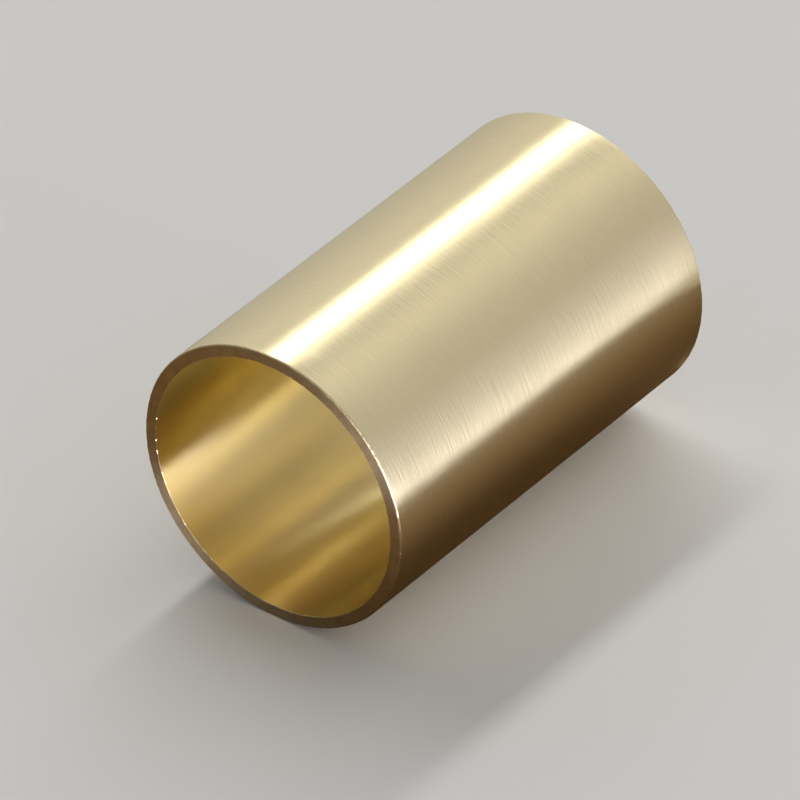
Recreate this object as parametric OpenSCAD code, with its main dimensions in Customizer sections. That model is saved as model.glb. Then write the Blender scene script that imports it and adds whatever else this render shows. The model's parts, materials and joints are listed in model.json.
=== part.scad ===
// Guitar slide: a straight, thin-walled brass tube worn on a finger.
//
// Frame: the bore axis lies along Y, so the slide lies on its side, with +Z up.
// The origin is on the bore axis, halfway along the tube.
// The wall is drawn once as a cross-section and revolved round the bore axis.

/* [Barrel] */
// Outer diameter of the barrel
outer_d = 24; // [20:0.5:32]
// Thickness of the tube wall
wall_t = 1; // [0.8:0.1:3]
// Overall length, end face to end face
tube_l = 38; // [25:1:75]

/* [Edges] */
// Radius of the rounded break on each outer edge
outer_break_r = 0.2; // [0.1:0.05:0.5]
// Width of the deburring chamfer on each inner edge, across the end face
deburr_w = 0.1; // [0.05:0.01:0.2]
// Depth of the deburring chamfer, along the bore
deburr_d = 0.14; // [0.05:0.01:0.3]

/* [Quality] */
// Number of facets round the tube in a quick preview
facets = 192; // [48:16:360]

/* [Hidden] */

outer_r = outer_d / 2;
bore_r = outer_r - wall_t;
// Small overlap that keeps cutting shapes clear of the faces they cut
eps = 0.05;

// The sliver of material that a rounded break takes off one outer corner.
// The corner sits at the 2D origin, with the material below and to the left of it.
module break_sliver(r) {
    difference() {
        translate([-r, -r]) square([r + eps, r + eps]);
        translate([-r, -r]) circle(r = r, $fn = 64);
    }
}

// The triangle of material that the deburring cut takes off one inner corner.
// The corner sits at the 2D origin, with the material below and to the right of it.
module deburr_sliver(w, d) {
    // the cutting line is carried on past both faces at its own slope
    over_w = eps * w / d;
    over_d = eps * d / w;
    polygon([[-eps, -d - over_d], [w + over_w, eps], [-eps, eps]]);
}

// Cross-section of the wall: x is the radius, y runs along the bore.
module wall_section() {
    difference() {
        translate([bore_r, -tube_l / 2]) square([wall_t, tube_l]);
        for (end = [0, 1])
            mirror([0, end]) {
                translate([outer_r, tube_l / 2]) break_sliver(outer_break_r);
                translate([bore_r, tube_l / 2]) deburr_sliver(deburr_w, deburr_d);
            }
    }
}

// The slide: barrel, through bore, two flat end faces and their broken edges.
module slide_tube() {
    color([0.80, 0.72, 0.50])
        rotate([-90, 0, 0])
            rotate_extrude($fn = facets)
                wall_section();
}

slide_tube();
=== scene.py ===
"""Guitar slide: a brushed brass tube, lying on its side on a pale floor.

Everything is in metres in the row frame: the bore axis is Y, the near end is at -Y, +Z is up.
"""

import json
import math

import bpy
import numpy as np
from mathutils import Matrix, Vector

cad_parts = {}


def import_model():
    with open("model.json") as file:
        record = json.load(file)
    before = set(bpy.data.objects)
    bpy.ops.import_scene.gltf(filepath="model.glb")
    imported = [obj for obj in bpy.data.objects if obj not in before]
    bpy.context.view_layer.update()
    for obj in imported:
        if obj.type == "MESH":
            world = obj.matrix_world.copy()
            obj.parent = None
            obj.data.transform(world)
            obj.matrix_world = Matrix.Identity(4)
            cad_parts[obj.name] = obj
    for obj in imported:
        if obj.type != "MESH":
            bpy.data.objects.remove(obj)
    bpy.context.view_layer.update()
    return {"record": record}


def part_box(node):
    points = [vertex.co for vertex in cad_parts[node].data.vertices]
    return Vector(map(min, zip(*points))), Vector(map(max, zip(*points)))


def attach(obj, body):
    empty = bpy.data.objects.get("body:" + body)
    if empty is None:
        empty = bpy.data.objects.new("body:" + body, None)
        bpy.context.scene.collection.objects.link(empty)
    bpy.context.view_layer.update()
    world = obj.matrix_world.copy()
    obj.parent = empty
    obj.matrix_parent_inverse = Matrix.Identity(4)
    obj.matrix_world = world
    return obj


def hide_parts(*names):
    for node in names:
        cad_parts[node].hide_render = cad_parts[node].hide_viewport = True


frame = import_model()


# ---------------------------------------------------------------- sizes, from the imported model
MM = 0.001
lo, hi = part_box("slide_tube")
OUTER_R = float(hi.x - lo.x) / 2 / MM
HALF_L = float(hi.y - lo.y) / 2 / MM
BORE_R = next(m for m in frame["record"]["mounts"] if m["name"] == "finger_bore")["dims"]["r_mm"]
BREAK_R = 0.20
DEBURR_W = 0.10
DEBURR_D = 0.14

# ---------------------------------------------------------------- camera
AZIMUTH, ELEVATION = math.radians(37.23), math.radians(36.25)
back = Vector(
    (
        math.sin(AZIMUTH) * math.cos(ELEVATION),
        -math.cos(AZIMUTH) * math.cos(ELEVATION),
        math.sin(ELEVATION),
    )
)
right = Vector((math.cos(AZIMUTH), math.sin(AZIMUTH), 0))
upward = back.cross(right)
near_centre = Vector((0, -HALF_L * MM, 0))
# the near end's centre seen from the camera: to the right, down, and away, in outer radii
seen = Vector((-0.7913, 0.5414, 61.8413)) * (OUTER_R * MM)
cam_data = bpy.data.cameras.new("camera")
cam = bpy.data.objects.new("camera", cam_data)
bpy.context.scene.collection.objects.link(cam)
cam_data.sensor_width = 36.0
cam_data.lens = 450.0
cam_data.clip_start = 0.01
cam_data.clip_end = 50.0
place = near_centre - right * seen.x + upward * seen.y + back * seen.z
cam.matrix_world = Matrix(
    (
        (right.x, upward.x, back.x, place.x),
        (right.y, upward.y, back.y, place.y),
        (right.z, upward.z, back.z, place.z),
        (0, 0, 0, 1),
    )
)
bpy.context.scene.camera = cam


# ---------------------------------------------------------------- node helper
class Nodes:
    """Short calls for building a node tree."""

    def __init__(self, tree):
        self.tree = tree
        tree.nodes.clear()

    def add(self, kind, inputs=None, **props):
        n = self.tree.nodes.new(kind)
        for k, v in props.items():
            setattr(n, k, v)
        for k, v in (inputs or {}).items():
            self.feed(n.inputs[k], v)
        return n

    def feed(self, socket, v):
        if isinstance(v, bpy.types.NodeSocket):
            self.tree.links.new(v, socket)
        else:
            socket.default_value = v

    def math(self, op, a, b=0.0, c=0.0, clamp=False):
        n = self.tree.nodes.new("ShaderNodeMath")
        n.operation = op
        n.use_clamp = clamp
        for i, v in enumerate((a, b, c)):
            if i < len(n.inputs):
                self.feed(n.inputs[i], v)
        return n.outputs[0]

    def vec(self, op, a, b=(0, 0, 0)):
        n = self.tree.nodes.new("ShaderNodeVectorMath")
        n.operation = op
        self.feed(n.inputs[0], a)
        self.feed(n.inputs[1], b)
        return n.outputs[0]

    def remap(self, v, a, b, c, d, kind="LINEAR"):
        n = self.add("ShaderNodeMapRange", interpolation_type=kind)
        n.clamp = True
        self.feed(n.inputs["Value"], v)
        for k, x in (("From Min", a), ("From Max", b), ("To Min", c), ("To Max", d)):
            self.feed(n.inputs[k], x)
        return n.outputs["Result"]

    def noise(self, vector, scale, detail=2.0, rough=0.5, distortion=0.0):
        n = self.add(
            "ShaderNodeTexNoise",
            {
                "Vector": vector,
                "Scale": scale,
                "Detail": detail,
                "Roughness": rough,
                "Distortion": distortion,
            },
            noise_dimensions="3D",
        )
        return n.outputs["Fac"]

    def mix(self, fac, a, b, blend="MIX"):
        n = self.add("ShaderNodeMix", data_type="RGBA", blend_type=blend)
        self.feed(n.inputs["Factor"], fac)
        self.feed(n.inputs[6], a)
        self.feed(n.inputs[7], b)
        return n.outputs[2]


# ---------------------------------------------------------------- the tube's mesh
def wave(theta, seed, lowest, highest, n):
    """A smooth closed curve round the tube, from -1 to 1 or so."""
    rng = np.random.default_rng(seed)
    out = np.zeros_like(theta)
    for k in rng.integers(lowest, highest + 1, n):
        out += rng.normal() * np.sin(k * theta + rng.uniform(0, 2 * math.pi))
    return out / math.sqrt(n)


def build_tube(name, segments=1024):
    theta = np.linspace(0, 2 * math.pi, segments, endpoint=False)
    rings = []  # each ring: radius(theta), y(theta), zone
    zones = []

    def ring(r, y, zone):
        rings.append((r + 0 * theta, y + 0 * theta))
        zones.append(zone)

    def nicks(rng, count, wide, deep, span=(0, 360)):
        """Small marks round the tube: how much wider each one makes an edge, in mm."""
        out = 0 * theta
        for _ in range(count):
            at, w, d = math.radians(rng.uniform(*span)), rng.uniform(*wide), rng.uniform(*deep)
            out = np.maximum(out, d * np.exp(-((np.angle(np.exp(1j * (theta - at))) / w) ** 2)))
        return out

    breaks, widths, depths, dips = {}, {}, {}, {}
    for s in (-1, 1):
        rng = np.random.default_rng(31 + s)
        b = BREAK_R * (0.80 + 0.10 * wave(theta, 12 + s, 1, 9, 6) + 0.10 * wave(theta, 15 + s, 50, 160, 24)).clip(0.5, 1.2)
        breaks[s] = b + nicks(rng, 70, (0.004, 0.009), (0.01, 0.05))
        w = DEBURR_W * (0.20 + 0.10 * wave(theta, 21 + s, 2, 23, 9) + 0.14 * wave(theta, 25 + s, 40, 130, 24)).clip(0.04, 1.2)
        w = w * (1 - 0.6 * np.exp(-(((np.degrees(theta) - 202) / 17) ** 2)))  # the deburring tool barely touched here
        # chatter marks left where the bore was deburred, with a rougher stretch at the upper left
        w = w + nicks(rng, 64, (0.005, 0.012), (0.01, 0.05)) + nicks(rng, 12, (0.004, 0.006), (0.05, 0.09), (118, 176))
        widths[s] = w
        depths[s] = w * DEBURR_D / DEBURR_W
        dips[s] = 0.004 * (1 + wave(theta, 41 + s, 1, 12, 8) * 0.5).clip(0, 2)

    def end(s, order):
        """Rings over one end, from the barrel to the bore (order 1) or back (order -1)."""
        part = []
        b = breaks[s]
        for a in np.linspace(0, math.pi / 2, 9):
            part.append((OUTER_R - b + b * np.cos(a), s * (HALF_L - b + b * np.sin(a)), "break"))
        r0, r1 = OUTER_R - b, BORE_R + widths[s]
        for t in (0.03, 0.25, 0.5, 0.75, 0.97):
            y = s * (HALF_L - dips[s] * math.sin(math.pi * t))
            part.append((r0 + (r1 - r0) * t, y, "face"))
        for t in (0.0, 0.12, 0.5, 0.88, 1.0):
            part.append((r1 - widths[s] * t, s * (HALF_L - depths[s] * t), "deburr"))
        part.append((BORE_R, s * (HALF_L - depths[s] - 0.02), "bore"))
        return part[::order]

    for r, y, z in end(-1, -1):
        ring(r, y, z)
    for y in np.linspace(-1, 1, 19)[1:-1]:
        ring(OUTER_R, y * (HALF_L - BREAK_R * 1.35), "barrel")
    for r, y, z in end(1, 1):
        ring(r, y, z)
    for y in np.linspace(1, -1, 15)[1:-1]:
        ring(BORE_R, y * (HALF_L - DEBURR_D * 2.2), "bore")

    n = len(rings)
    co = np.empty((n, segments, 3))
    for i, (r, y) in enumerate(rings):
        co[i, :, 0] = r * np.cos(theta)
        co[i, :, 1] = y
        co[i, :, 2] = r * np.sin(theta)
    i, j = np.meshgrid(np.arange(n), np.arange(segments), indexing="ij")
    i2, j2 = (i + 1) % n, (j + 1) % segments
    quads = np.stack([i * segments + j, i2 * segments + j, i2 * segments + j2, i * segments + j2], -1)
    mesh = bpy.data.meshes.new(name)
    mesh.from_pydata((co.reshape(-1, 3) * MM).tolist(), [], quads.reshape(-1, 4).tolist())
    kinds = {"barrel": 0, "break": 1, "face": 1, "deburr": 1, "bore": 2}
    index = np.empty((n, segments), np.int32)
    for k in range(n):
        a, b = kinds[zones[k]], kinds[zones[(k + 1) % n]]
        index[k] = a if a == b else (a if a != 1 else b)
    mesh.polygons.foreach_set("material_index", index.reshape(-1))
    mesh.polygons.foreach_set("use_smooth", np.ones(n * segments, bool))
    # one chart, unrolled: u runs along the wall's section, v round the tube
    seg = np.zeros(n + 1)
    for k in range(n):
        a, b = rings[k], rings[(k + 1) % n]
        seg[k + 1] = seg[k] + float(np.hypot(b[0] - a[0], b[1] - a[1]).mean())
    u = seg / seg[-1]
    uv = mesh.uv_layers.new(name="unrolled")
    uvs = np.empty((n, segments, 4, 2))
    v0, v1 = np.arange(segments) / segments, (np.arange(segments) + 1) / segments
    for k in range(n):
        uvs[k, :, 0] = np.stack([np.full(segments, u[k]), v0], -1)
        uvs[k, :, 1] = np.stack([np.full(segments, u[k + 1]), v0], -1)
        uvs[k, :, 2] = np.stack([np.full(segments, u[k + 1]), v1], -1)
        uvs[k, :, 3] = np.stack([np.full(segments, u[k]), v1], -1)
    uv.data.foreach_set("uv", uvs.reshape(-1))
    mesh.validate()
    mesh.update()
    ob = bpy.data.objects.new(name, mesh)
    bpy.context.scene.collection.objects.link(ob)
    return ob


tube = build_tube("brass_tube")


# ---------------------------------------------------------------- materials
def brass(name):
    m = bpy.data.materials.new(name)
    m.use_nodes = True
    k = Nodes(m.node_tree)
    out = k.add("ShaderNodeOutputMaterial")
    bsdf = k.add("ShaderNodeBsdfPrincipled")
    k.feed(out.inputs["Surface"], bsdf.outputs[0])
    bsdf.inputs["Metallic"].default_value = 1.0
    pos = k.vec("MULTIPLY", k.add("ShaderNodeTexCoord").outputs["Object"], (1000, 1000, 1000))
    return m, k, bsdf, pos


def circular(k, bsdf, amount):
    """The brush lines run round the tube, so the gloss spreads along it."""
    bsdf.inputs["Anisotropic"].default_value = amount
    tangent = k.add("ShaderNodeTangent", direction_type="RADIAL", axis="Y")
    k.feed(bsdf.inputs["Tangent"], tangent.outputs[0])
    bsdf.inputs["Anisotropic Rotation"].default_value = 0.25


def barrel_material():
    m, k, bsdf, pos = brass("brushed_brass")
    # brush lines: long round the tube, fine along it, some of them slightly slanted
    def lines_at(degrees, stretch, detail):
        turn = k.math("MULTIPLY", k.add("ShaderNodeSeparateXYZ", {"Vector": pos}).outputs["Y"], math.tan(math.radians(degrees)) / OUTER_R)
        turned = k.add("ShaderNodeVectorRotate", {"Vector": pos, "Angle": turn}, rotation_type="Y_AXIS").outputs[0]
        return k.noise(k.vec("MULTIPLY", turned, stretch), 1.0, detail, 0.6)

    slanted = k.math("ADD", lines_at(13, (0.45, 5.0, 0.45), 3.0), lines_at(-11, (0.50, 4.0, 0.50), 2.0))
    scratch = k.remap(lines_at(19, (0.16, 2.6, 0.16), 1.0), 0.655, 0.70, 0.0, 1.0)
    fine = k.noise(k.vec("MULTIPLY", pos, (0.50, 5.5, 0.50)), 1.0, 3.0, 0.62)
    medium = k.noise(k.vec("MULTIPLY", pos, (0.30, 4.0, 0.30)), 1.0, 2.0, 0.5)
    cloud = k.noise(pos, 0.22, 2.0, 0.5)
    rough = k.math("ADD", k.remap(fine, 0.25, 0.75, 0.282, 0.322), k.remap(cloud, 0.3, 0.7, -0.006, 0.006))
    k.feed(bsdf.inputs["Roughness"], rough)
    lines = k.math("ADD", k.math("MULTIPLY", fine, 0.7), k.math("MULTIPLY", medium, 0.3))
    tint = k.mix(k.remap(lines, 0.36, 0.64, 0.0, 1.0), (0.905, 0.770, 0.468, 1), (0.868, 0.738, 0.447, 1))
    k.feed(bsdf.inputs["Base Color"], tint)
    circular(k, bsdf, 0.98)
    height = k.math("ADD", k.math("MULTIPLY", fine, 0.75), k.math("MULTIPLY", medium, 0.7))
    height = k.math("ADD", height, k.math("MULTIPLY", slanted, 0.6))
    height = k.math("SUBTRACT", height, k.math("MULTIPLY", scratch, 0.25))
    bump = k.add("ShaderNodeBump", {"Strength": 1.0, "Distance": 1.8e-5, "Height": height})
    k.feed(bsdf.inputs["Normal"], bump.outputs[0])
    return m


def end_material():
    m, k, bsdf, pos = brass("cut_brass")
    grain = k.noise(pos, 7.0, 3.0, 0.6)
    patch = k.noise(pos, 1.1, 2.0, 0.5)
    k.feed(bsdf.inputs["Roughness"], k.remap(grain, 0.3, 0.7, 0.32, 0.44))
    k.feed(
        bsdf.inputs["Base Color"],
        k.mix(
            k.remap(k.math("ADD", k.math("MULTIPLY", grain, 0.6), k.math("MULTIPLY", patch, 0.4)), 0.38, 0.62, 0.0, 1.0),
            (0.72, 0.59, 0.35, 1),
            (0.93, 0.78, 0.47, 1),
        ),
    )
    circular(k, bsdf, 0.85)
    bump = k.add("ShaderNodeBump", {"Strength": 1.0, "Distance": 2.5e-5, "Height": grain})
    k.feed(bsdf.inputs["Normal"], bump.outputs[0])
    return m


def bore_material():
    m, k, bsdf, pos = brass("drawn_brass")
    drawn = k.noise(k.vec("MULTIPLY", pos, (0.5, 2.5, 0.5)), 1.0, 2.0, 0.5)
    cloud = k.noise(pos, 0.30, 3.0, 0.55)
    k.feed(bsdf.inputs["Roughness"], k.remap(cloud, 0.3, 0.7, 0.305, 0.335))
    metal = k.mix(k.remap(cloud, 0.35, 0.65, 0.0, 1.0), (0.98, 0.835, 0.43, 1), (0.95, 0.805, 0.41, 1))
    # the bore's colour is darker and deeper over the last 9 mm to each mouth
    along = k.math("ABSOLUTE", k.add("ShaderNodeSeparateXYZ", {"Vector": pos}).outputs["Y"])
    at_mouth = k.remap(along, HALF_L - 9.0, HALF_L, 0.0, 1.0, "SMOOTHSTEP")
    k.feed(bsdf.inputs["Base Color"], k.mix(at_mouth, metal, (0.86, 0.68, 0.285, 1)))
    circular(k, bsdf, 1.0)
    bump = k.add("ShaderNodeBump", {"Strength": 1.0, "Distance": 5e-7, "Height": drawn})
    k.feed(bsdf.inputs["Normal"], bump.outputs[0])
    return m


for mat in (barrel_material(), end_material(), bore_material()):
    tube.data.materials.append(mat)

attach(tube, "root")
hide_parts("slide_tube")

# ---------------------------------------------------------------- floor and studio
FLOOR_Z = -OUTER_R * MM


def sheet(name, corners, z):
    me = bpy.data.meshes.new(name)
    me.from_pydata([(x * MM, y * MM, z) for x, y in corners], [], [tuple(range(len(corners)))])
    me.update()
    ob = bpy.data.objects.new(name, me)
    bpy.context.scene.collection.objects.link(ob)
    return ob


def diffuse(name, colour, rough=0.6, spec=0.3):
    m = bpy.data.materials.new(name)
    m.use_nodes = True
    b = m.node_tree.nodes["Principled BSDF"]
    b.inputs["Base Color"].default_value = (*colour, 1)
    b.inputs["Roughness"].default_value = rough
    b.inputs["Specular IOR Level"].default_value = spec
    return m


def only_in_metal(*cards):
    """A studio card: seen in the metal's gloss, and in nothing else."""
    for c in cards:
        for flag in ("visible_camera", "visible_diffuse", "visible_shadow", "visible_transmission", "visible_volume_scatter"):
            setattr(c, flag, False)


def blend(k, v, stops, peak=1.0):
    """A colour ramp over v; each stop is (value, grey or colour)."""
    low, high = stops[0][0], stops[-1][0]
    ramp = k.add("ShaderNodeValToRGB", {"Fac": k.remap(v, low, high, 0, 1)})
    e = ramp.color_ramp
    while len(e.elements) > 1:
        e.elements.remove(e.elements[-1])
    for n, (at, c) in enumerate(stops):
        el = e.elements[0] if n == 0 else e.elements.new((at - low) / (high - low))
        el.position = (at - low) / (high - low)
        c = c if isinstance(c, tuple) else (c, c, c)
        el.color = tuple(x / peak for x in c) + (1,)
    return ramp.outputs[0]


def position(k):
    """Millimetres in the frame, for a card whose object sits at the origin."""
    mm = k.vec("MULTIPLY", k.add("ShaderNodeTexCoord").outputs["Object"], (1000, 1000, 1000))
    return k.add("ShaderNodeSeparateXYZ", {"Vector": mm}).outputs


floor = sheet("floor", [(-3000, -3000), (3000, -3000), (3000, 3000), (-3000, 3000)], FLOOR_Z - 0.00001)
floor.data.materials.append(diffuse("pale_floor", (0.82, 0.805, 0.78), spec=0.1))
floor.visible_glossy = False

# a card seen only in the metal's gloss, under the tube and in front of it: a painted reflection of a brown floor in
# shade, with painted shadow darkest right at the near end
table = sheet(
    "painted_floor_reflection",
    [(-60, -140), (32, -140), (32, 46), (11, 46), (9, 24), (-14, 24), (-14, 16), (-60, 16)],
    FLOOR_Z - 0.000005,
)
m = diffuse("painted_floor_reflection", (0.15, 0.10, 0.055), spec=0.1)
k = Nodes(m.node_tree)
bsdf = k.add("ShaderNodeBsdfPrincipled", {"Roughness": 0.6, "Specular IOR Level": 0.1})
out = k.add("ShaderNodeOutputMaterial", {"Surface": bsdf.outputs[0]})
p = position(k)
# painted shadow: dark near the tube, lighter to the right from x 12 to 40 mm, as the floor comes out of the tube's
# shade
out_of_painted_shadow = k.remap(p["X"], 12, 40, 0, 1, "SMOOTHSTEP")
colour = k.mix(out_of_painted_shadow, (0.205, 0.122, 0.056, 1), (0.60, 0.42, 0.235, 1))
# painted sheen: greyer to the left of the tube (x below -24 mm, from y -30 mm back), where the floor would glare
painted_sheen_left = k.math("MULTIPLY", k.remap(p["X"], -24, -40, 0, 1, "SMOOTHSTEP"), k.remap(p["Y"], -30, -8, 0, 1, "SMOOTHSTEP"))
colour = k.mix(painted_sheen_left, colour, (0.26, 0.22, 0.17, 1))
# painted contact shadow: half way to near black from y -22 mm back, at the near end and under the tube
painted_foot_shadow = k.remap(p["Y"], -34, -22, 0, 1, "SMOOTHSTEP")
k.feed(bsdf.inputs["Base Color"], k.mix(painted_foot_shadow, colour, k.mix(0.5, colour, (0.06, 0.035, 0.016, 1))))
table.data.materials.append(m)


def glow(name, corners, axis, stops, peak=8.0, tint=(1, 1, 1), soft=None):
    """A card that gives light, graded along one axis (mm); soft is the X range its sides fade over, in and out."""
    me = bpy.data.meshes.new(name)
    me.from_pydata([tuple(v * MM for v in c) for c in corners], [], [(0, 1, 2, 3)])
    ob = bpy.data.objects.new(name, me)
    bpy.context.scene.collection.objects.link(ob)
    m = bpy.data.materials.new(name)
    m.use_nodes = True
    k = Nodes(m.node_tree)
    stops = [(at, tuple(v * c for c in tint)) for at, v in stops]
    colour = blend(k, position(k)[axis], stops, peak)
    power = peak
    if soft:
        x = position(k)["X"]
        power = k.math("MULTIPLY", k.remap(x, soft[0], soft[1], 0, peak, "SMOOTHSTEP"), k.remap(x, soft[2], soft[3], 1, 0, "SMOOTHSTEP"))
    em = k.add("ShaderNodeEmission", {"Color": colour, "Strength": power})
    k.add("ShaderNodeOutputMaterial", {"Surface": em.outputs[0]})
    ob.data.materials.append(m)
    return ob


# low behind on the right
rear = glow(
    "rear_card",
    [(27, 47, -12), (600, 47, -12), (600, 47, 30), (27, 47, 30)],
    "Z",
    [(-12, 0.76), (-8, 0.60), (-5, 0.52), (3.5, 0.47), (16, 0.48), (30, 0.51)],
)
# far off in front on the right, from just under the horizon up
side = glow(
    "side_card",
    [(2500, -3400, -600), (2500, -60, -600), (2500, -60, 1800), (2500, -3400, 1800)],
    "Z",
    [(-600, 0.1), (-430, 0.3), (-385, 14.5), (-240, 15.5), (0, 11.0), (220, 5.6), (440, 3.2), (900, 1.7), (1800, 0.5)],
    32.0,
    (1.0, 1.01, 1.28),
)
# far off in front, low down
fore = glow(
    "fore_card",
    [(-900, -2500, -200), (1900, -2500, -200), (1900, -2500, 900), (-900, -2500, 900)],
    "Z",
    [(-200, 0.3), (-60, 5.2), (200, 5.2), (450, 2.2), (900, 0.3)],
    8.0,
    (1.0, 0.97, 1.05),
    (-800, 700, 1200, 1900),
)
only_in_metal(table, rear, side, fore)


def world():
    w = bpy.data.worlds.new("studio")
    bpy.context.scene.world = w
    w.use_nodes = True
    k = Nodes(w.node_tree)
    d = k.add("ShaderNodeSeparateXYZ", {"Vector": k.add("ShaderNodeTexCoord").outputs["Generated"]})
    deg = k.math("MULTIPLY", k.math("ARCTAN2", d.outputs["Z"], d.outputs["X"]), 180 / math.pi)
    turn = k.math("MODULO", k.math("ADD", deg, 450.0), 360.0)  # 0 straight down, 90 at +X, 180 straight up
    around = k.math("SUBTRACT", turn, 90.0)  # the angle above +X, from -90 to 270
    brown = (0.95, 0.84, 0.54)
    behind = [
        (-90, brown), (-52, brown), (-44, (0.21, 0.15, 0.10)), (-30, (0.24, 0.175, 0.12)), (-17, (0.33, 0.265, 0.20)),
        (-13, 0.50), (-2, 0.48), (14, 0.50), (30, 0.52), (45, 0.60), (60, 0.66), (74, 0.79), (84, 0.88),
        (93, 0.86), (98, 0.50), (107, 0.27), (117, 0.26), (118.5, 10.0), (123.5, 10.0), (125, 0.50), (131, 0.72), (137, 0.85), (144, 0.87),
        (151, 0.83), (165, 0.73), (180, 0.66), (195, 0.59), (212, 0.53), (232, (0.42, 0.39, 0.35)), (250, brown), (270, brown),
    ]
    front = [
        (-90, (0.16, 0.10, 0.05)), (-20, (0.16, 0.10, 0.05)), (-8, 0.30), (20, 0.28), (60, 0.28), (100, 0.30), (140, 0.23),
        (180, 0.18), (190, (0.17, 0.11, 0.06)), (270, (0.16, 0.10, 0.05)),
    ]
    to_back = k.remap(d.outputs["Y"], -0.15, 0.10, 0, 1, "SMOOTHSTEP")
    colour = k.mix(to_back, blend(k, around, front, 14.0), blend(k, around, behind, 14.0))
    sky = k.add("ShaderNodeBackground", {"Color": colour, "Strength": 14.0})
    k.add("ShaderNodeOutputWorld", {"Surface": sky.outputs[0]})


world()
sc = bpy.context.scene
sc.view_settings.view_transform = "Standard"
